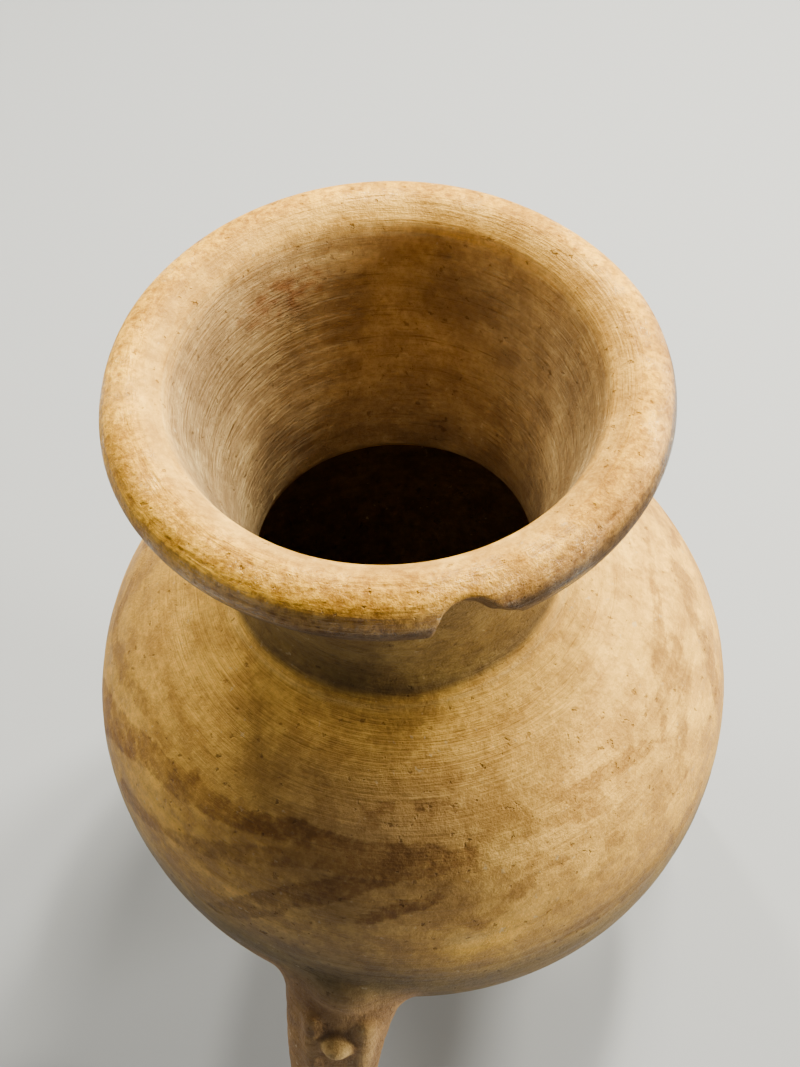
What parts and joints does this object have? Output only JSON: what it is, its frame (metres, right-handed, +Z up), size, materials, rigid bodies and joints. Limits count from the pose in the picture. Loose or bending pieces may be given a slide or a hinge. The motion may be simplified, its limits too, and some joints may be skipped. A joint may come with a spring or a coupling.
{
  "type": "tripod jar",
  "caption": "Hollow painted pottery jar with a globular body, a funnel neck with a thick rolled rim, and modelled legs; holds liquids or dry goods.",
  "frame": {"origin": "bottom centre of the bounding box, in the plane of the three foot undersides", "axes": "+Z up along the body's axis, -Y towards the front leg, +X to the right of someone who faces that leg; the body's axis stands 12 mm towards +Y of the origin"},
  "size_m": [0.22, 0.2446, 0.3181],
  "materials": {
    "burnished_clay": "burnished buff-tan slip with brown painted stripes"
  },
  "bodies": {
    "root": {"jar": "burnished_clay"}
  },
  "joints": []
}
